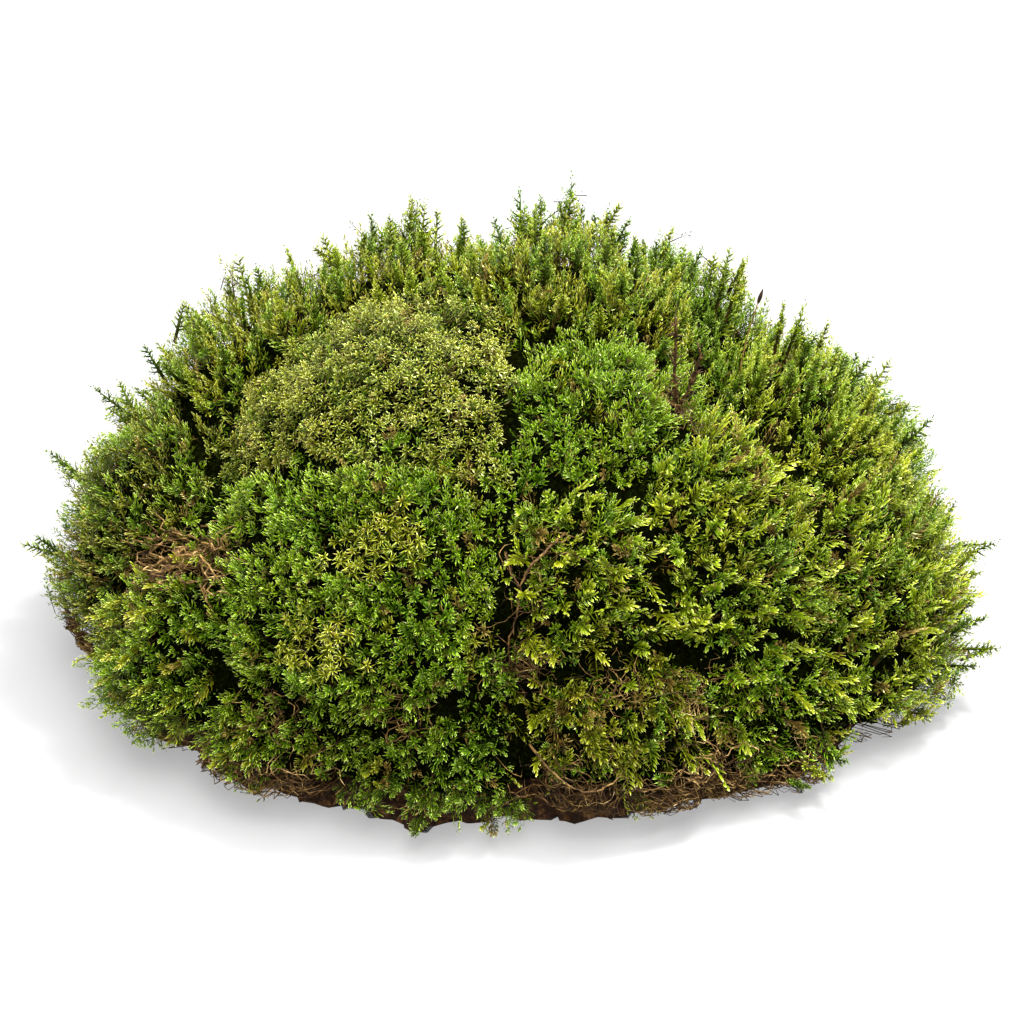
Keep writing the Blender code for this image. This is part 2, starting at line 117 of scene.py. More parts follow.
# Moss leaf: one layer of cells, so light comes through it, with a waxy wet gloss on top
def leafMaterial():
    made, tree = newMaterial("mossLeaf")
    place = addNode(tree, "ShaderNodeUVMap", {"uv_map": "OFBake"})
    split = addNode(tree, "ShaderNodeSeparateXYZ", links={"Vector": place.outputs["UV"]})
    shown = None
    # Four steps from stem to leaf tip: the dark early steps partly paint shade low among the shoots, the pale last step
    # partly paints a highlight on the leaf tips
    for layer, (low, high) in enumerate(((0.05, 0.2), (0.2, 0.48), (0.48, 0.74), (0.74, 0.94))):
        stops = []
        for name, pairs in mossesWithPaintedLight.items():
            start = band[name] / len(mossesWithPaintedLight)
            greenest, yellowest = pairs[layer]
            width = 1 / len(mossesWithPaintedLight)
            stops += [(start + 0.01 * width, greenest), (start + 0.80 * width, yellowest)]
            stops += [(start + 0.86 * width, deadLeafWithPaintedLight[layer]), (start + 0.99 * width, deadLeafWithPaintedLight[layer])]
        ramp = addNode(tree, "ShaderNodeValToRGB", {"stops": stops}, {"Fac": split.outputs["X"]})
        if shown is None:
            shown = addNode(tree, "ShaderNodeMix", {"data_type": "RGBA", 6: colour(mossStem)})
        else:
            before = shown.outputs[2]
            shown = addNode(tree, "ShaderNodeMix", {"data_type": "RGBA"}, {6: before})
        step = addNode(tree, "ShaderNodeMapRange", {"From Min": low, "From Max": high}, {"Value": split.outputs["Y"]})
        tree.links.new(step.outputs["Result"], shown.inputs[0])
        tree.links.new(ramp.outputs["Color"], shown.inputs[7])
    skin = addNode(tree, "ShaderNodeBsdfPrincipled", {"Roughness": 0.22, "IOR": 1.45, "Specular IOR Level": 0.34, "Specular Tint": colour("#e0e888")}, {"Base Color": shown.outputs[2]})
    through = addNode(tree, "ShaderNodeBsdfTranslucent", links={"Color": shown.outputs[2]})
    both = addNode(tree, "ShaderNodeMixShader", {0: 0.33}, {1: skin.outputs[0], 2: through.outputs[0]})
    addNode(tree, "ShaderNodeOutputMaterial", links={"Surface": both.outputs[0]})
    return made


# Peat: matt and nearly black where it is damp, straw brown where crumbs have dried
def soilMaterial(name, stops, size, gloss):
    made, tree = newMaterial(name)
    place = addNode(tree, "ShaderNodeTexCoord")
    crumbs = addNode(tree, "ShaderNodeTexNoise", {"Scale": 1 / (size * mm), "Detail": 5.0, "Roughness": 0.65}, {"Vector": place.outputs["Object"]})
    shade = addNode(tree, "ShaderNodeValToRGB", {"stops": stops}, {"Fac": crumbs.outputs["Fac"]})
    skin = addNode(tree, "ShaderNodeBsdfPrincipled", {"Roughness": 0.95, "Specular IOR Level": gloss}, {"Base Color": shade.outputs["Color"]})
    grain = addNode(tree, "ShaderNodeBump", {"Strength": 0.6, "Distance": 0.4 * mm}, {"Height": crumbs.outputs["Fac"]})
    tree.links.new(grain.outputs["Normal"], skin.inputs["Normal"])
    addNode(tree, "ShaderNodeOutputMaterial", links={"Surface": skin.outputs[0]})
    return made


# Root and dry stem: dull bark, from wet dark brown to bleached straw, in streaks along the stem
def rootMaterial():
    made, tree = newMaterial("rootBark")
    place = addNode(tree, "ShaderNodeUVMap", {"uv_map": "OFBake"})
    split = addNode(tree, "ShaderNodeSeparateXYZ", links={"Vector": place.outputs["UV"]})
    where = addNode(tree, "ShaderNodeTexCoord")
    streaks = addNode(tree, "ShaderNodeTexNoise", {"Scale": 1 / (0.9 * mm), "Detail": 3.0}, {"Vector": where.outputs["Object"]})
    spread = addNode(tree, "ShaderNodeMapRange", {"From Min": 0.3, "From Max": 0.7, "To Min": -0.22, "To Max": 0.22}, {"Value": streaks.outputs["Fac"]})
    tone = addNode(tree, "ShaderNodeMath", {"operation": "ADD", "use_clamp": True}, {0: split.outputs["X"], 1: spread.outputs["Result"]})
    stops = ((0.0, "#120a04"), (0.3, "#33210e"), (0.6, "#685028"), (0.85, "#a08656"), (1.0, "#d0bc8c"))
    shade = addNode(tree, "ShaderNodeValToRGB", {"stops": stops}, {"Fac": tone.outputs[0]})
    skin = addNode(tree, "ShaderNodeBsdfPrincipled", {"Roughness": 0.6, "Specular IOR Level": 0.12}, {"Base Color": shade.outputs["Color"]})
    addNode(tree, "ShaderNodeOutputMaterial", links={"Surface": skin.outputs[0]})
    return made


leaf = leafMaterial()
bark = rootMaterial()
peat = soilMaterial("peatSoil", ((0.32, "#0a0502"), (0.5, "#24150a"), (0.62, "#452d16"), (0.75, "#7c5e38")), 1.6, 0.15)
# Near-black stops: the sheet of old stems under the green is mostly painted shade for the deep gaps between the shoots
oldStemsAndShade = soilMaterial("oldMossStemsAndPaintedShade", ((0.42, "#020200"), (0.56, "#040601"), (0.68, "#0c1002"), (0.78, "#1c1605")), 0.7, 0.0)

# How the shoots of each habit grow
habits = {
    "star": {
        "spacing": 1.65, "length": 4.4, "leaves": 23, "leafLength": 1.4, "leafWidth": 0.25,
        "lowAngle": 86, "topAngle": 36, "crowd": 1.5, "firstLeaf": 0.30, "curl": -0.10,
        "feather": 0.0, "lift": 0.30, "spread": 0.36, "stem": 0.14, "ripeAndLit": 1.0,
    },
    "wiry": {
        "spacing": 1.8, "length": 5.2, "leaves": 22, "leafLength": 1.75, "leafWidth": 0.21,
        "lowAngle": 82, "topAngle": 36, "crowd": 1.3, "firstLeaf": 0.25, "curl": -0.22,
        "feather": 0.1, "lift": 0.20, "spread": 0.45, "stem": 0.15, "ripeAndLit": 1.0,
    },
    "brush": {
        "spacing": 1.8, "length": 6.8, "leaves": 30, "leafLength": 1.5, "leafWidth": 0.25,
        "lowAngle": 80, "topAngle": 38, "crowd": 1.2, "firstLeaf": 0.22, "curl": 0.28,
        "feather": 0.3, "lift": 0.30, "spread": 0.36, "stem": 0.17, "ripeAndLit": 1.0,
    },
    "fern": {
        "spacing": 2.0, "length": 9.5, "leaves": 30, "leafLength": 1.7, "leafWidth": 0.3,
        "lowAngle": 74, "topAngle": 44, "crowd": 1.0, "firstLeaf": 0.2, "curl": 0.22,
        "feather": 0.93, "lift": 0.12, "spread": 0.5, "stem": 0.26, "ripeAndLit": 1.0,
    },
    "plume": {
        "spacing": 2.0, "length": 8.5, "leaves": 30, "leafLength": 1.45, "leafWidth": 0.28,
        "lowAngle": 70, "topAngle": 38, "crowd": 1.1, "firstLeaf": 0.22, "curl": 0.25,
        "feather": 0.6, "lift": 0.30, "spread": 0.38, "stem": 0.24, "ripeAndLit": 1.0,
    },
    "frond": {
        "above": 13.0, "spacing": 5.6, "length": 11.0, "leaves": 34, "leafLength": 2.1, "leafWidth": 0.36,
        "lowAngle": 62, "topAngle": 42, "crowd": 1.0, "firstLeaf": 0.25, "curl": 0.16,
        "feather": 1.0, "lift": 0.0, "spread": 0.25, "stem": 0.36, "ripeAndLit": 1.0,
    },
    "tall": {
        "spacing": 5.0, "length": 10.0, "leaves": 34, "leafLength": 0.85, "leafWidth": 0.34,
        "lowAngle": 66, "topAngle": 36, "crowd": 0.95, "firstLeaf": 0.25, "curl": 0.1,
        "feather": 0.2, "lift": 0.12, "spread": 0.12, "stem": 0.8, "ripeAndLit": 0.85,
    },
    "twiglet": {
        "spacing": 1.0, "length": 2.4, "leaves": 10, "leafLength": 0.75, "leafWidth": 0.3,
        "lowAngle": 62, "topAngle": 26, "crowd": 1.0, "firstLeaf": 0.1, "curl": 0.1,
        "feather": 0.5, "lift": 0.25, "spread": 0.12, "stem": 0.4, "ripeAndLit": 1.1,
    },
    "under": {
        "spacing": 1.0, "length": 4.0, "leaves": 8, "leafLength": 1.5, "leafWidth": 0.3,
        "lowAngle": 75, "topAngle": 40, "crowd": 1.0, "firstLeaf": 0.2, "curl": 0.1,
        "feather": 0.3, "lift": 0.2, "spread": 0.6, "stem": 0.22, "ripeAndLit": 0.74,
    },
}

# Each cushion: its moss, the habit of its shoots, the way they are combed, and the share that is dead
cushions = {
    "cushion_olive_dome": ("olive", "star", (0, -0.1, 0.2), 0.012),
    "cushion_front_dome": ("bright", "brush", (-0.1, -0.15, 0.1), 0.008),
    "wiry_patch": ("yellow", "wiry", (0.05, -0.25, 0.05), 0.02),
    "cushion_left_foot": ("bright", "brush", (-0.2, -0.3, -0.05), 0.016),
    "cushion_left_flank": ("olive", "plume", (-0.25, -0.1, 0.0), 0.02),
    "cushion_left_ridge": ("yellow", "plume", (-0.1, 0, 0.3), 0.012),
    "cushion_crown_left": ("yellow", "plume", (0, 0, 0.35), 0.016),
    "cushion_crown_right": ("yellow", "plume", (0, 0, 0.3), 0.012),
    "cushion_bright_dome": ("bright", "brush", (0.05, -0.1, 0.2), 0.008),
    "cushion_centre_fronds": ("feather", "fern", (0.1, -0.15, 0.0), 0.04),
    "cushion_front_left_foot": ("bright", "brush", (-0.15, -0.4, -0.25), 0.024),
    "cushion_front_foot": ("deep", "brush", (0, -0.4, -0.25), 0.016),
    "cushion_front_right_foot": ("yellow", "fern", (0.05, -0.3, -0.25), 0.12),
    "cushion_right_foot": ("bright", "fern", (0.1, -0.3, -0.1), 0.03),
    "cushion_right_hem": ("feather", "fern", (0.1, -0.15, 0.05), 0.06),
    "cushion_right_middle": ("feather", "fern", (0.1, -0.1, 0.15), 0.05),
    "cushion_right_flank": ("feather", "fern", (0.12, -0.05, 0.2), 0.05),
    "cushion_right_shoulder": ("feather", "plume", (0.15, 0, 0.25), 0.016),
    "cushion_back_right_ridge": ("deep", "plume", (0.1, 0.1, 0.3), 0.012),
    "cushion_back_right": ("deep", "brush", (0.2, 0.2, 0.0), 0.016),
    "cushion_back": ("feather", "fern", (0.0, 0.3, -0.05), 0.02),
    "cushion_back_left": ("olive", "star", (-0.1, 0.2, 0.05), 0.016),
    "cushion_left_back": ("bright", "brush", (-0.3, 0.1, 0.0), 0.016),
    "green_patch": ("deep", "brush", (0.05, -0.1, 0.15), 0.01),
    "brown_patch": ("yellow", "plume", (0.05, -0.1, 0.15), 0.3),
}

# Shoots that stand clear of the rest: bearing, rise, length, lean from upright
tallShoots = (
    (161, 68, 11.8, 0.2), (176, 69, 9.0, 0), (169, 68, 8.8, 0.1), (152, 64, 7.0, 0.4), (140, 60, 5.5, 0.5),
    (122, 57, 6.0, 0.6), (107, 60, 6.8, 0.5), (-152, 65, 8.0, 0.1), (-141, 62, 7.5, 0.3), (-133, 59, 6.0, 0.5),
    (-118, 50, 9.5, 0.2), (-109, 46, 6.5, 0.7), (-108, 30, 6.5, 1.0), (-97, 23, 6.5, 1.0), (-97, 10, 5.0, 1.0),
    (93, 53, 6.5, 0.5), (112, 32, 5.5, 0.7), (90, 33, 5.0, 0.9), (82, 17, 6.0, 1.0), (72, 8, 5.5, 1.1),
    (37, 5, 5.0, 1.4), (-8, 6, 5.0, 1.4), (170, 34, 8.5, 0.8), (-163, 42, 8.0, 0.7), (-121, 22, 7.0, 0.9),
)


def meshArrays(obj):
    mesh = obj.data
    points = np.empty(len(mesh.vertices) * 3)
    mesh.vertices.foreach_get("co", points)
    mesh.calc_loop_triangles()
    faces = np.empty(len(mesh.loop_triangles) * 3, int)
    mesh.loop_triangles.foreach_get("vertices", faces)
    return points.reshape(-1, 3), faces.reshape(-1, 3)


def join(parts):
    points, faces, places, start = [], [], [], 0
    for some, triangles, corners in parts:
        points.append(some)
        faces.append(triangles + start)
        places.append(corners)
        start += len(some)
    return np.concatenate(points), np.concatenate(faces), np.concatenate(places)


def meshPiece(name, arrays, material, replaced=()):
    points, faces, places = arrays
    points[:, 2] = np.maximum(points[:, 2], 0.05 * mm)
    mesh = bpy.data.meshes.new(name)
    mesh.vertices.add(len(points))
    mesh.vertices.foreach_set("co", points.astype(np.float32).ravel())
    mesh.loops.add(len(faces) * 3)
    mesh.loops.foreach_set("vertex_index", faces.astype(np.int32).ravel())
    mesh.polygons.add(len(faces))
    mesh.polygons.foreach_set("loop_start", np.arange(0, len(faces) * 3, 3, dtype=np.int32))
    mesh.update(calc_edges=True)
    mesh.uv_layers.new(name="OFBake").uv.foreach_set("vector", places.astype(np.float32).ravel())
    mesh.materials.append(material)
    piece = bpy.data.objects.new(name, mesh)
    bpy.context.scene.collection.objects.link(piece)
    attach(piece, "root")
    if replaced:
        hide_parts(*replaced)
    print(name, len(faces), "triangles")
    return piece


def growStems(roots, startWays, endWays, lengths, tones, kind):
    count = len(roots)
    side = unit(np.cross(startWays, np.array([0.31, 0.42, 0.85])))
    other = np.cross(startWays, side)
    rings = []
    for s, thick in ((0.0, 1.0), (0.55, 0.8)):
        middle = roots + lengths[:, None] * (startWays * s + (endWays - startWays) * s * s / 2)
        for turn in (0, 2.094, 4.189):
            rings.append(middle + (side * math.cos(turn) + other * math.sin(turn)) * kind["stem"] * mm * thick / 2)
    rings.append(roots + lengths[:, None] * (startWays + endWays) / 2)
    points = np.stack(rings, axis=1)
    triangles = [(0, 1, 4), (0, 4, 3), (1, 2, 5), (1, 5, 4), (2, 0, 3), (2, 3, 5), (3, 4, 6), (4, 5, 6), (5, 3, 6)]
    faces = (np.arange(count)[:, None, None] * 7 + np.array(triangles)[None]).reshape(-1, 3)
    places = np.empty((count, 7, 2))
    places[..., 0] = tones[:, None] + np.array([1, -1, 0, 1, -1, 0, 0]) * 0.003
    # Stems darker at the foot: partly old brown stem, partly painted shade low in the cushion
    places[..., 1] = np.array([0.04, 0.05, 0.06, 0.36, 0.38, 0.4, 0.6]) * kind["ripeAndLit"]
    return points.reshape(-1, 3), faces, places.reshape(-1, 2)[faces.reshape(-1)]


# Share of single leaves that are withered, everywhere and further down the shoot
withering = {"everywhere": 0.025, "low": 0.06}


def grow(roots, startWays, endWays, lengths, tones, outwards, kind):
    count, leaves = len(roots), kind["leaves"]
    tips = roots[:, 2] + lengths * (startWays + endWays)[:, 2] / 2
    roots[:, 2] += np.maximum(1.5 * mm - np.minimum(tips, roots[:, 2]), 0)
    step = (np.arange(leaves) + 0.5) / leaves
    along = kind["firstLeaf"] + (1 - kind["firstLeaf"]) * (1 - (1 - step) ** kind["crowd"])
    along = np.clip(along + random.normal(0, 0.012, (count, leaves)), 0.02, 1.0)
    s = along[..., None]
    bend = (endWays - startWays)[:, None]
    axis = roots[:, None] + lengths[:, None, None] * (startWays[:, None] * s + bend * s * s / 2)
    tangent = unit(startWays[:, None] + bend * s)
    flat = unit(np.cross(tangent, np.broadcast_to(outwards[:, None], tangent.shape)))
    deep = np.cross(flat, tangent)
    turn = np.arange(leaves) * 2.39996 + random.uniform(0, 6.28, (count, 1)) + random.normal(0, 0.25, (count, leaves))
    side = np.where(np.arange(leaves) % 2, 0.0, math.pi) + random.normal(0, 0.35, (count, leaves))
    turn = np.where(random.random((count, leaves)) < kind["feather"], side, turn)[..., None]
    radial = flat * np.cos(turn) + deep * np.sin(turn)
    angle = np.radians(kind["lowAngle"] + (kind["topAngle"] - kind["lowAngle"]) * step**1.6)
    angle = (angle + random.normal(0, 0.16, (count, leaves)))[..., None]
    way = tangent * np.cos(angle) + radial * np.sin(angle)
    up = tangent * np.sin(angle) - radial * np.cos(angle)
    across = np.cross(way, up)
    shape = (0.72 + 0.45 * np.sin(math.pi * np.clip(step * 1.15, 0, 1))) * (1 - 0.3 * step)
    scale = (lengths / (kind["length"] * mm))[:, None] ** 0.5
    long = (kind["leafLength"] * mm * shape * scale * random.normal(1, 0.14, (count, leaves)))[..., None]
    wide = (kind["leafWidth"] * mm * scale * random.normal(1, 0.1, (count, leaves)))[..., None]
    base = axis + radial * kind["stem"] * mm * 0.3
    middle = base + way * long * 0.6 - up * long * kind["curl"] * 0.3
    tip = base + way * long + up * long * kind["curl"] * random.normal(1, 0.5, (count, leaves, 1))
    points = np.stack([base, middle + across * wide / 2, middle - across * wide / 2, tip], axis=2)
    first = np.arange(count * leaves)[:, None, None] * 4
    faces = (first + np.array([(0, 2, 1), (1, 2, 3)])[None]).reshape(-1, 3)
    places = np.empty((count, leaves, 4, 2))
    tone = tones[:, None] + random.normal(0, 0.006, (count, leaves))
    withered = (np.floor(tone * len(mossesWithPaintedLight)) + 0.93) / len(mossesWithPaintedLight)
    tone = np.where(random.random((count, leaves)) < withering["everywhere"] + withering["low"] * (1 - along) ** 2, withered, tone)
    places[..., 0] = tone[..., None] + np.array([0, 0.002, -0.002, 0])
    # Paler up the shoot and towards each leaf tip: partly young growth, partly painted shade low in the cushion and a
    # painted highlight at the leaf tips
    places[..., 1] = kind["ripeAndLit"] * ((0.06 + 0.36 * along)[..., None] + np.array([0, 0.22, 0.22, 0.62]))
    corner = np.clip(places, 0.001, 0.999).reshape(-1, 2)[faces.reshape(-1)]
    stem = growStems(roots, startWays, endWays, lengths, tones, kind)
    return join([(points.reshape(-1, 3), faces, corner), stem])


def shade(moss, tones, dead):
    inner = np.where(dead, 0.93, 0.04 + 0.74 * np.clip(tones, 0, 1))
    return (band[moss] + inner) / len(mossesWithPaintedLight)


solids = {name: meshArrays(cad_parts[name]) for name in list(cushions) + ["soil_mat"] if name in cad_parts}
owner, allPoints, allFaces = [], [], []
for name, (points, faces) in solids.items():
    allFaces.append(faces + sum(len(p) for p in allPoints))
    allPoints.append(points)
    owner += [name] * len(faces)
surface = BVHTree.FromPolygons(np.concatenate(allPoints).tolist(), np.concatenate(allFaces).tolist())


def mossPoint(bearing, rise, above=0.0):
    out = Vector(domeWays(np.array([domePoint(bearing, rise)]))[0])
    place = surface.ray_cast(domePoint(bearing, rise, 20), -out)[0]
    return place + out * above * mm, out


def openSpots(name, spacing):
    points, faces = solids[name]
    a, b, c = (points[faces[:, i]] for i in range(3))
    cross = np.cross(b - a, c - a)
    area = np.linalg.norm(cross, axis=1) / 2
    normal = unit(cross)
    middle = (a + b + c) / 3
    wanted = int(area.sum() / (spacing * mm) ** 2 * 7)
    pick = random.choice(len(faces), wanted, p=area / area.sum())
    u, v = random.random((2, wanted, 1))
    u, v = np.where(u + v > 1, 1 - u, u), np.where(u + v > 1, 1 - v, v)
    spots = a[pick] + u * (b - a)[pick] + v * (c - a)[pick]
    outs = domeWays(spots)
    size = spacing * mm * (1 + 0.22 * patches(spots, 7, 3.1))
    smooth = (4.5 * mm) ** 2 * 2
    kept, cells = [], {}
    for spot, out, face, apart in zip(spots, outs, pick, size):
        cell = tuple(np.floor(spot / (2 * mm)).astype(int))
        around = [-2, -1, 0, 1, 2] if apart > 2 * mm else [-1, 0, 1]
        near = [cells.get((cell[0] + i, cell[1] + j, cell[2] + k), ()) for i in around for j in around for k in around]
        if any(np.sum((spot - o) ** 2) < apart * apart for some in near for o in some):
            continue
        if spot[2] < 3 * mm and normal[face][2] < -0.6:
            continue
        place, _, index, _ = surface.ray_cast(Vector(spot + normal[face] * 0.2 * mm), Vector(normal[face]), 1.6 * mm)
        if place and owner[index] != name:
            continue
        weight = area * np.exp(-np.sum((middle - spot) ** 2, axis=1) / smooth) * np.maximum(normal @ normal[face], 0)
        way = (weight[:, None] * normal).sum(0)
        way = way / np.linalg.norm(way) * 0.7 + out * 0.3
        way /= np.linalg.norm(way)
        for share in (0.0, 0.6, 1.0):
            ahead = way * (1 - share) + out * share
            ahead /= np.linalg.norm(ahead)
            place, _, index, _ = surface.ray_cast(Vector(spot + ahead * 0.3 * mm), Vector(ahead), 6 * mm)
            if not place or owner[index] == name:
                cells.setdefault(cell, []).append(spot)
                kept.append((spot, ahead))
                break
    return np.array([spot for spot, _ in kept]), np.array([way for _, way in kept])


# Where a point shows in the main view, in pixels of the photograph
view = {"elevation": 27, "distance": 0.70, "pixel": 0.19, "target": (-0.3, 4.5, 27.3)}


def frontView(point):
    tilt = math.radians(view["elevation"])
    away = Vector(point) / mm - Vector(view["target"])
    depth = view["distance"] / mm + away.y * math.cos(tilt) - away.z * math.sin(tilt)
    scale = view["distance"] / mm / depth / view["pixel"]
    return 512 + away.x * scale, 512 - (away.z * math.cos(tilt) + away.y * math.sin(tilt)) * scale


wiryPatches = ((372, 552, 46), (318, 655, 30), (470, 640, 24))

# Shares of greener and of browner shoots scattered through a cushion
guests = {
    "cushion_centre_fronds": (0.42, 0.10), "cushion_right_middle": (0.36, 0.16), "cushion_right_flank": (0.36, 0.10),
    "cushion_right_hem": (0.34, 0.18), "cushion_front_right_foot": (0.16, 0.30), "cushion_right_shoulder": (0.16, 0.08),
    "cushion_crown_right": (0.34, 0.06), "cushion_crown_left": (0.3, 0.16), "cushion_left_ridge": (0.34, 0.06),
    "cushion_left_flank": (0.36, 0.08), "cushion_right_foot": (0.0, 0.08), "cushion_back": (0.3, 0.1),
}


def mossesAt(spots):
    found = []
    for spot in spots:
        moved = Vector(spot) + noise.noise_vector(Vector(spot) / (8 * mm)) * 8 * mm
        here = owner[surface.find_nearest(moved)[2]]
        x, y = frontView(moved)
        if here == "cushion_front_dome" and any(math.hypot(x - a, y - b) < r for a, b, r in wiryPatches):
            here = "wiry_patch"
        green, brown = guests.get(here, (0, 0))
        chance = 0.5 + noise.noise(Vector(spot) / (6 * mm) + Vector((3, 7, 1))) * 0.9 + random.normal(0, 0.12)
        if chance < green:
            here = "green_patch"
        elif chance > 1 - brown:
            here = "brown_patch"
        found.append(here)
    return np.array(found)


# Root hairs: bearing, rise, spread in degrees, count, thickness, tone, share of the moss that they part
tangles = (
    (-55, 32, 4.6, 64, 0.42, 0.45, 0.96), (-46, 33, 3.6, 36, 0.36, 0.45, 0.9), (-59, 28, 3, 50, 0.2, 0.4, 0.6),
    (-75, 7, 4, 150, 0.24, 0.42, 0.95), (-66, 4, 4, 80, 0.2, 0.4, 0.7), (-28, 15, 2.5, 30, 0.18, 0.4, 0.6),
    (-12, 18, 2.5, 24, 0.16, 0.38, 0.4), (8, 7, 4.5, 110, 0.2, 0.36, 0.95), (1.5, 25, 2.2, 50, 0.18, 0.4, 0.8),
    (22, 5, 6, 200, 0.24, 0.42, 0.97), (24, 18, 3.5, 50, 0.16, 0.5, 0.5), (13, 22, 2.5, 30, 0.16, 0.42, 0.5),
    (70, 15, 4, 50, 0.18, 0.48, 0.5), (56, 30, 3, 24, 0.16, 0.42, 0.4), (48, 60, 2.5, 36, 0.16, 0.3, 0.7),
    (1.5, 38, 1.8, 8, 0.16, 0.36, 0.9), (0.5, 31, 1.8, 8, 0.16, 0.36, 0.9), (6, 42, 1.5, 6, 0.16, 0.36, 0.8),
    (-38, 4, 4.5, 90, 0.24, 0.4, 0.95), (-26, 5, 5, 90, 0.24, 0.38, 0.9), (36, 4, 4, 60, 0.2, 0.4, 0.6),
)


def bareShare(spots):
    out = domeWays(spots)
    share = np.zeros(len(spots))
    for bearing, rise, spread, _, _, _, bare in tangles:
        way = domeWays(np.array([domePoint(bearing, rise)]))[0]
        apart = np.degrees(np.arccos(np.clip(out @ way, -1, 1))) / spread
        share = np.maximum(share, bare * np.exp(-(apart**2)))
    return share


# Lumps of the moss surface: how wide, how high, and how far it sinks into the crevices between cushions
relief = {"wide": 9.0, "high": 5.0, "small": 4.0, "smallHigh": 3.0, "crevice": 2.6, "sink": 1.2, "bare": 0.08,
          "hem": 6.0, "hemBare": 0.75, "lonelyBelow": 12.0, "lonelyReach": 4.0, "company": 6}


def creviceShare(name, spots):
    points, faces = [], []
    for other in solids:
        if other not in (name, "soil_mat"):
            faces += (solids[other][1] + len(points)).tolist()
            points += solids[other][0].tolist()
    others = BVHTree.FromPolygons(points, faces)
    apart = np.array([others.find_nearest(Vector(spot))[3] for spot in spots])
    return np.exp(-((apart / (relief["crevice"] * mm)) ** 2))


def dress(name):
    spots, ways = openSpots(name, habits[cushions[name][1]]["spacing"])
    low = creviceShare(name, spots)
    hem = np.exp(-((spots[:, 2] / (relief["hem"] * mm)) ** 2)) * relief["hemBare"]
    kept = random.random(len(spots)) > np.maximum.reduce([bareShare(spots), low * relief["bare"], hem])
    company = (np.linalg.norm(spots[:, None] - spots[kept][None], axis=2) < relief["lonelyReach"] * mm).sum(1)
    kept &= (spots[:, 2] > relief["lonelyBelow"] * mm) | (company >= relief["company"])
    spots, ways, low = spots[kept], ways[kept], low[kept]
    lump = patches(spots, relief["wide"], 21) * relief["high"] * (0.5 if "star" in cushions[name] else 1)
    lump += patches(spots, relief["small"], 33) * relief["smallHigh"]
    spots = spots + ways * (np.clip(lump, -2.6, 2.6) - low * relief["sink"])[:, None] * mm
    species = mossesAt(spots)
    species[species == "soil_mat"] = name
    hue, leanX, leanY, leanZ = (patches(spots, size, shift) for size, shift in ((11, 0), (8, 5), (8, 9), (8, 13)))
    parts = []
    for grown in sorted(set(species)):
        mine = species == grown
        moss, habit, comb, deadShare = cushions[grown]
        kind = habits[habit]
        tips, way, count = spots[mine], ways[mine], int(mine.sum())
        lengths = kind["length"] * mm * np.clip(random.normal(1, 0.2, count), 0.5, 1.6)
        clump = np.stack([leanX[mine], leanY[mine], leanZ[mine]], axis=1) * 0.8
        lean = random.normal(0, kind["spread"], (count, 3)) + np.array(comb) + clump
        startWays = unit(way + lean * 0.8)
        lift = np.array([0, 0, kind["lift"]])
        endWays = unit(startWays + lift + np.array(comb) * (1.1 if habit == "fern" else 0.6) + random.normal(0, 0.15, (count, 3)))
        reach = lengths[:, None] * (startWays + endWays) / 2
        roots = tips - reach + way * random.normal(0.1, 0.6, (count, 1)) * mm
        tones = 0.45 + 0.55 * hue[mine] + random.normal(0, 0.14, count)
        dead = random.random(count) < deadShare * (1 + 2.5 * np.maximum(leanX[mine], 0))
        parts.append(grow(roots, startWays, endWays, lengths, shade(moss, tones, dead), way, kind))
    # Short sprigs sunk deep between the shoots, in deep green and held mostly short of the pale tip colours: painted
    # shade in the gaps between the shoots
    under = habits["under"]
    sunk = spots - ways * random.uniform(4.2, 6.0, (len(spots), 1)) * mm + random.normal(0, 0.8 * mm, spots.shape)
    start = unit(ways + random.normal(0, under["spread"], ways.shape))
    end = unit(start + random.normal(0, 0.2, ways.shape))
    size = under["length"] * mm * random.uniform(0.7, 1.2, len(spots))
    tones = shade("deep", 0.5 + 0.4 * hue, random.random(len(spots)) < 0.12)
    parts.append(grow(sunk, start, end, size, tones, ways, under))
    return meshPiece("moss_" + name.replace("cushion_", ""), join(parts), leaf, [name])


total = sum(len(dress(name).data.polygons) for name in cushions if name in solids)
print("moss triangles", total)


# Fir-like shoots that grow among the others: cushion and how many millimetres apart
spires = {
    "cushion_right_shoulder": 4.2, "cushion_crown_right": 6.0, "cushion_back_right_ridge": 5.2,
    "cushion_crown_left": 6.5, "cushion_left_ridge": 8.0, "cushion_back": 9.0, "cushion_right_flank": 8.0,
}
# How far up the shoot each side branch is, and its length as a share of the shoot
sideBranches = tuple((0.3 + 0.045 * step, 0.27 - 0.0145 * step) for step in range(14))


# Where no tall shoot may reach in the main view, so that the capsule shows: place and width in pixels
clearView = {"capsule": (760, 302, 20)}


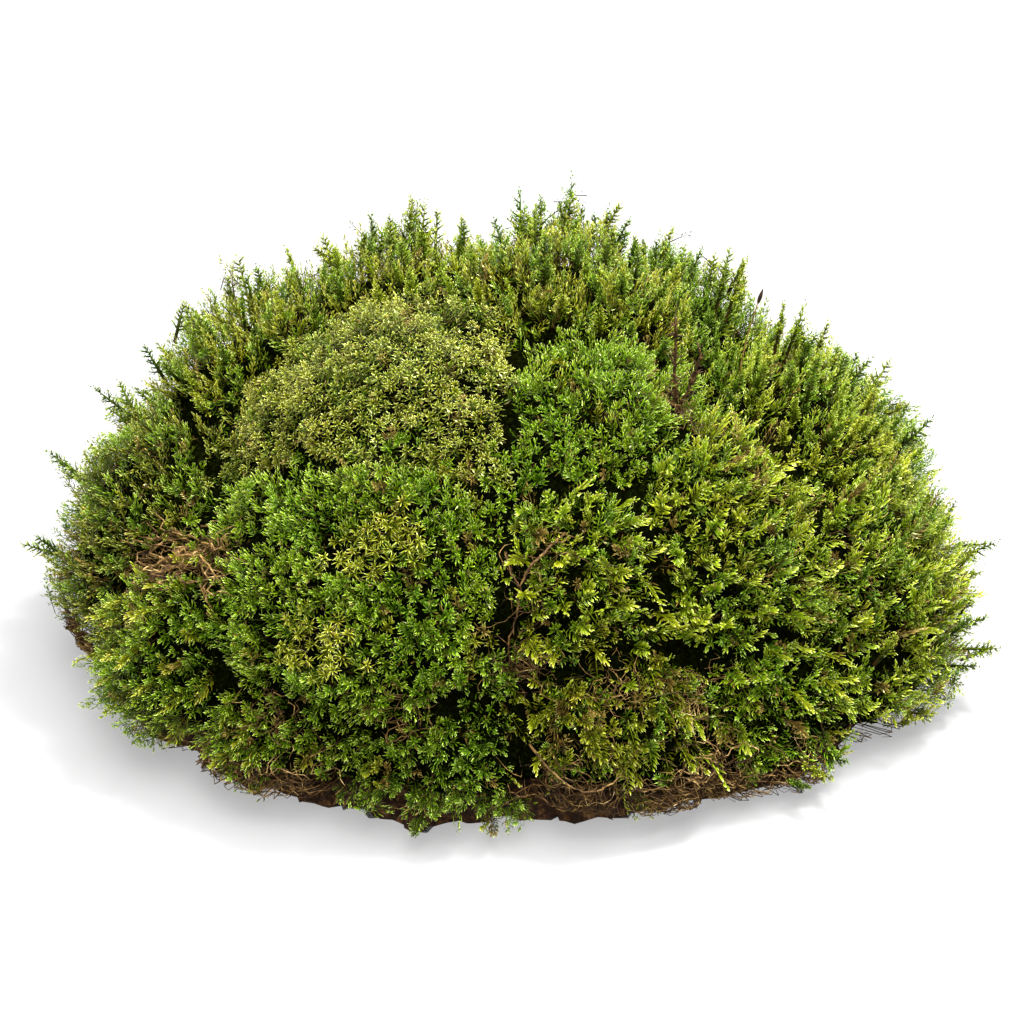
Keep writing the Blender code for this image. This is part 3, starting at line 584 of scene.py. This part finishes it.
def growTall():
    rows = []
    for bearing, rise, length, lean in tallShoots:
        for sibling in range(3):
            place = domePoint(bearing + (0, 2.6, -2.2)[sibling], rise + (0, 1.2, -1.8)[sibling], -4.5)
            out = Vector(domeWays(np.array([place]))[0])
            wobble = Vector(random.normal(0, 0.05 + 0.14 * (sibling > 0), 3))
            way = (Vector((0, 0, max(1 - lean, 0.1))) + out * (0.35 + lean)).normalized() + wobble
            size = (length + 6.0) * (1.05, 0.85, 0.75)[sibling]
            rows.append((place, way.normalized(), size, out))
    for name, apart in spires.items():
        spots, ways = openSpots(name, apart)
        for spot, way in zip(spots, ways):
            size = random.uniform(7.5, 10.5)
            ahead = Vector(way * 0.7 + np.array([0, 0, 0.7]) + random.normal(0, 0.15, 3)).normalized()
            rows.append((Vector(spot) - ahead * 5 * mm, ahead, size, Vector(way)))
    clear = clearView["capsule"]
    rows = [row for row in rows if math.dist(frontView(row[0] + row[1] * row[2] * mm), clear[:2]) > clear[2]]
    roots, ways, outs = (np.array([row[i] for row in rows]) for i in (0, 1, 3))
    lengths = np.array([row[2] for row in rows]) * mm
    ends = unit(ways + np.array([0, 0, 0.1]) + random.normal(0, 0.06, ways.shape))
    hue = random.uniform(0.1, 0.9, len(roots))
    tones = np.where(random.random(len(roots)) < 0.5, shade("deep", hue, False), shade("feather", hue, False))
    parts = [grow(roots, ways, ends, lengths, tones, outs, habits["tall"])]
    flat = unit(np.cross(ways, unit(random.normal(0, 1, ways.shape) + outs)))
    for number, (share, reach) in enumerate(sideBranches):
        some = random.random(len(roots)) < 0.85
        place = roots + lengths[:, None] * (ways * share + (ends - ways) * share * share / 2)
        side = flat * (1 if number % 2 else -1) + random.normal(0, 0.25, ways.shape)
        start = unit(ways + unit(side) * 1.5)
        size = lengths * reach * random.normal(1, 0.15, len(roots))
        some = [start[some], unit(start + ways * 0.4)[some], size[some], tones[some], outs[some], place[some]]
        parts.append(grow(some[5], *some[:5], habits["twiglet"]))
    return meshPiece("tall_shoots", join(parts), leaf)


growTall()


# Long fronds that lie over the rest on the right of the front
def growFronds():
    kind, parts = habits["frond"], []
    for name in ("cushion_centre_fronds", "cushion_front_right_foot", "cushion_right_middle", "cushion_right_flank",
                 "cushion_right_foot", "cushion_left_foot", "cushion_front_left_foot"):
        spots, ways = openSpots(name, kind["spacing"])
        high = spots[:, 2] > kind["above"] * mm
        spots, ways = spots[high], ways[high]
        comb = np.array(cushions[name][2])
        start = unit(ways + comb * 2.6 + random.normal(0, kind["spread"], ways.shape))
        end = unit(start + comb + random.normal(0, 0.15, ways.shape))
        lengths = kind["length"] * mm * random.uniform(0.7, 1.15, len(spots))
        roots = spots - ways * 3.5 * mm - start * 2.5 * mm
        moss = "yellow" if "left" in name else "feather"
        tones = shade(moss, random.uniform(0.2, 1.0, len(spots)), random.random(len(spots)) < 0.1)
        parts.append(grow(roots, start, end, lengths, tones, ways, kind))
    return meshPiece("long_fronds", join(parts), leaf)


growFronds()


def solidCopy(*names):
    bpy.ops.object.select_all(action="DESELECT")
    for name in names:
        copy = bpy.data.objects.new(name + "_copy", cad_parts[name].data.copy())
        bpy.context.scene.collection.objects.link(copy)
        copy.select_set(True)
        bpy.context.view_layer.objects.active = copy
    if len(names) > 1:
        bpy.ops.object.join()
    made = bpy.context.view_layer.objects.active
    bpy.ops.object.mode_set(mode="EDIT")
    bpy.ops.mesh.select_all(action="SELECT")
    bpy.ops.mesh.remove_doubles(threshold=0.01 * mm)
    bpy.ops.object.mode_set(mode="OBJECT")
    return made


def applyModifier(obj, name, kind, **settings):
    modifier = obj.modifiers.new(name, kind)
    for key, value in settings.items():
        setattr(modifier, key, value)
    bpy.ops.object.modifier_apply(modifier=name)


# The old dead stems under the green, coloured near black to paint the shade deep between the shoots: the cushions drawn
# in together
thatchAndShade = solidCopy(*[name for name in cushions if name in solids])
applyModifier(thatchAndShade, "fuse", "REMESH", mode="VOXEL", voxel_size=3.0 * mm)
applyModifier(thatchAndShade, "even", "SMOOTH", iterations=4)
applyModifier(thatchAndShade, "drawIn", "DISPLACE", mid_level=0.0, strength=-4.6 * mm)
size = Vector((dome["halfWidth"], dome["halfDepth"], dome["height"])) * mm
centre = Vector(dome["middle"]) * mm
for vertex in thatchAndShade.data.vertices:
    away = vertex.co - centre
    reach = Vector(away[i] / size[i] for i in range(3)).length
    vertex.co = centre + away * min(1, 0.95 / reach)
    vertex.co += noise.noise_vector(vertex.co / (2.5 * mm)) * 0.9 * mm
    vertex.co.z = max(vertex.co.z, 0.6 * mm)
thatchAndShade.name = thatchAndShade.data.name = "old_stems_and_painted_shade"
thatchAndShade.data.materials.clear()
thatchAndShade.data.materials.append(oldStemsAndShade)
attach(thatchAndShade, "root")

soil = solidCopy("soil_mat")
applyModifier(soil, "fuse", "REMESH", mode="VOXEL", voxel_size=1.9 * mm)
for vertex in soil.data.vertices:
    ground = vertex.co.z < 0.8 * mm
    vertex.co += noise.noise_vector(vertex.co / (4.5 * mm)) * 2.6 * mm + noise.noise_vector(vertex.co / (1.6 * mm)) * 1.1 * mm
    vertex.co.z = 0 if ground else max(vertex.co.z, 0.3 * mm)
soil.name = soil.data.name = "soil"
soil.data.materials.clear()
soil.data.materials.append(peat)
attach(soil, "root")
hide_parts("soil_mat")


def tubes(paths, radii, tones, sides=3):
    count, steps = paths.shape[:2]
    ahead = unit(np.gradient(paths, axis=1))
    first = unit(np.cross(ahead, np.array([0.25, 0.35, 0.9])))
    second = np.cross(ahead, first)
    turns = np.arange(sides) * 2 * math.pi / sides
    ring = first[:, :, None] * np.cos(turns)[:, None] + second[:, :, None] * np.sin(turns)[:, None]
    points = paths[:, :, None] + ring * radii[:, :, None, None]
    ends = np.stack([paths[:, 0], paths[:, -1]], axis=1)
    number = steps * sides
    triangles = []
    for i in range(steps - 1):
        for k in range(sides):
            low, next_ = i * sides + k, i * sides + (k + 1) % sides
            triangles += [(low, next_, next_ + sides), (low, next_ + sides, low + sides)]
    for k in range(sides):
        triangles += [(number, (k + 1) % sides, k)]
        triangles += [(number + 1, number - sides + k, number - sides + (k + 1) % sides)]
    allOf = np.concatenate([points.reshape(count, number, 3), ends], axis=1)
    faces = (np.arange(count)[:, None, None] * (number + 2) + np.array(triangles)[None]).reshape(-1, 3)
    places = np.empty((count, number + 2, 2))
    places[..., 0] = np.clip(tones[:, None] + random.normal(0, 0.03, (count, number + 2)), 0.01, 0.99)
    places[..., 1] = np.linspace(0.1, 0.9, number + 2)
    return allOf.reshape(-1, 3), faces, places.reshape(-1, 2)[faces.reshape(-1)]


def smoothLine(points, steps):
    points = [points[0] * 2 - points[1], *points, points[-1] * 2 - points[-2]]
    line = []
    for a, b, c, d in zip(points, points[1:], points[2:], points[3:]):
        for t in (i / steps for i in range(steps)):
            line.append(0.5 * (2 * b + (c - a) * t + (2 * a - 5 * b + 4 * c - d) * t * t + (3 * b - a - 3 * c + d) * t**3))
    return np.array(line + [points[-2]])


def branch(places, thick, tone, taper=0.45, wobble=0.25):
    line = smoothLine([mossPoint(*place)[0] for place in places], 6)
    line[1:-1] += random.normal(0, wobble * mm * 0.4, line[1:-1].shape)
    radius = thick * mm / 2 * np.linspace(1, taper, len(line)) * random.normal(1, 0.12, len(line))
    return tubes(line[None], radius[None], np.array([tone]), 6), line


def spikes(line, count, length, tone, thick):
    at = random.integers(2, len(line) - 1, count)
    way = unit(unit(np.gradient(line, axis=0)[at]) * 0.9 + unit(random.normal(0, 1, (count, 3))))
    along = np.linspace(0, 1, 4)[None, :, None]
    paths = line[at][:, None] + way[:, None] * along * length * mm * random.uniform(0.5, 1.2, (count, 1, 1))
    paths = paths + along**2 * random.normal(0, 0.25, (count, 1, 3)) * length * mm
    radii = np.tile(np.linspace(thick, 0.05, 4) * mm / 2, (count, 1))
    return tubes(paths, radii, np.full(count, tone))


stems = {
    "dead_stem": (
        ((48, 60, -11), (48, 61.5, -4), (47, 63.5, 3), (47.5, 66.5, 12.5)),
        ((48, 61.5, -4), (50.5, 62, 2), (53, 62.6, 5), (57, 64, 8.5)),
        1.0, 0.26, 90, 2.3, 0.5,
    ),
    "forked_twig": (
        ((9, 44, -3), (5, 40.5, 1.2), (2, 37, 1.4), (1, 32, 1.6), (0, 27, 1.2), (3, 23, -3)),
        ((1.7, 35.5, 1.6), (0.3, 38, 2.2), (-0.5, 41, 1.8)),
        0.5, 0.34, 24, 0.9, 0.2,
    ),
    "root_left": (((-60, 27, -3), (-55, 30, 1.2), (-50, 33, 1.6), (-44, 33, 1.4), (-40, 30, -3)), None, 0.7, 0.5, 30, 2.2, 0.25),
    "root_front": (((2.5, 14, -3), (5, 11, 1.3), (8, 9.2, 1.6), (11, 10, 1.4), (15, 13.5, -3)), None, 0.5, 0.4, 40, 1.8, 0.2),
}
for name, (main, side, thick, tone, twigs, twigLength, twigThick) in stems.items():
    made, line = branch(main, thick, tone)
    parts = [made, spikes(line, twigs, twigLength, tone, twigThick)]
    if side:
        made, line = branch(side, thick * 0.7, tone)
        parts += [made, spikes(line, twigs // 2, twigLength, tone, twigThick)]
    meshPiece(name + "_bark", join(parts), bark, [name])

stalk, line = branch(((72.5, 58, -6), (72.5, 59.7, 1), (73.2, 61.2, 8), (75, 62.2, 16.5)), 0.34, 0.5, 0.6, 0.1)
ahead = unit(line[-1] - line[-2])
profile = np.array([(0.0, 0.35), (0.12, 0.7), (0.3, 1.0), (0.5, 1.0), (0.68, 0.8), (0.82, 0.48), (0.92, 0.3), (1.0, 0.14)])
capsule = tubes((line[-1] + ahead * profile[:, :1] * 3.0 * mm)[None], (profile[:, 1] * 0.38 * mm)[None], np.array([0.12]), 10)
meshPiece("capsule_and_stalk", join([stalk, capsule]), bark, ["spore_capsule"])

hem = tuple((bearing, 1.5, 6, 24, 0.2, 0.32, -0.4) for bearing in range(-180, 180, 9))


def hairs(tangle):
    bearing, rise, spread, count, thick, tone, bare = tangle
    paths = []
    for _ in range(count):
        b = bearing + random.normal(0, spread * 0.6)
        r = max(rise + random.normal(0, spread * 0.5), 1.0)
        turn, line = random.uniform(0, 6.28), []
        for step in range(7):
            place, out = mossPoint(b, r, random.uniform(-4.2, -1.6) + 2.2 * bare - 1.2 * (step in (0, 6)))
            place.z = max(place.z, 0.4 * mm)
            line.append(np.array(place))
            turn += random.normal(0, 0.8)
            b += math.cos(turn) * 0.95 / max(math.cos(math.radians(r)), 0.3)
            r = max(r + math.sin(turn) * 0.95, 1.0)
        paths.append(line)
    paths = np.array(paths)
    radii = np.tile(np.array([0.6, 0.9, 1, 1, 0.9, 0.7, 0.3]) * thick * mm / 2, (count, 1)) * random.uniform(0.5, 1.2, (count, 1))
    return tubes(paths, radii, np.clip(tone + random.normal(0, 0.14, count), 0.02, 0.98))


meshPiece("root_hairs", join([hairs(tangle) for tangle in tangles + hem]), bark)

# Stage: a white table, a soft box above and behind, and white all round
stage = {
    "boxSize": 1.0, "boxPower": 39, "boxPlace": (0.12, -0.05, 0.95),
    "keySize": 0.14, "keyPower": 19, "keyPlace": (0.3, 0.16, 0.78),
    "fillSize": 0.5, "fillPower": 10, "fillPlace": (0.0, -0.6, 0.7),
    "tableWhite": 0.1, "tableGlow": 0.37, "roomLow": 2.0, "roomHigh": 1.4,
}
bpy.ops.object.select_all(action="DESELECT")
bpy.ops.mesh.primitive_plane_add(size=6)
table = bpy.context.object
table.name = "table"
tableMaterial = bpy.data.materials.new("whiteTable")
tableMaterial.use_nodes = True
tableMaterial.node_tree.nodes["Principled BSDF"].inputs["Base Color"].default_value = [stage["tableWhite"]] * 3 + [1]
tableMaterial.node_tree.nodes["Principled BSDF"].inputs["Roughness"].default_value = 0.9
tableMaterial.node_tree.nodes["Principled BSDF"].inputs["Emission Color"].default_value = (1, 1, 1, 1)
tableMaterial.node_tree.nodes["Principled BSDF"].inputs["Emission Strength"].default_value = stage["tableGlow"]
table.data.materials.append(tableMaterial)


def addLight(name, place, size, power):
    light = bpy.data.lights.new(name, "AREA")
    light.energy, light.size = power, size
    lamp = bpy.data.objects.new(name, light)
    bpy.context.scene.collection.objects.link(lamp)
    lamp.location = place
    lamp.rotation_euler = (Vector((0, 0, 0.02)) - Vector(place)).to_track_quat("-Z", "Y").to_euler()


addLight("softBox", stage["boxPlace"], stage["boxSize"], stage["boxPower"])
addLight("key", stage["keyPlace"], stage["keySize"], stage["keyPower"])
addLight("fill", stage["fillPlace"], stage["fillSize"], stage["fillPower"])
world = bpy.data.worlds.new("whiteRoom")
bpy.context.scene.world = world
world.use_nodes = True
sky = world.node_tree
height = addNode(sky, "ShaderNodeSeparateXYZ", links={"Vector": addNode(sky, "ShaderNodeTexCoord").outputs["Generated"]})
fade = addNode(sky, "ShaderNodeMapRange", {
    "From Min": 0.05, "From Max": 0.45, "To Min": stage["roomLow"], "To Max": stage["roomHigh"],
}, {"Value": height.outputs["Z"]})
sky.nodes["Background"].inputs["Color"].default_value = (1, 1, 1, 1)
sky.links.new(fade.outputs["Result"], sky.nodes["Background"].inputs["Strength"])
bpy.context.scene.view_settings.view_transform = "Standard"

camera = bpy.data.objects.new("camera", bpy.data.cameras.new("camera"))
bpy.context.scene.collection.objects.link(camera)
tilt = math.radians(view["elevation"])
target = mm * Vector(view["target"])
camera.location = target + view["distance"] * Vector((0, -math.cos(tilt), math.sin(tilt)))
camera.rotation_euler = (math.pi / 2 - tilt, 0, 0)
camera.data.lens = camera.data.sensor_width * view["distance"] / (view["pixel"] * mm * 1024)
bpy.context.scene.camera = camera
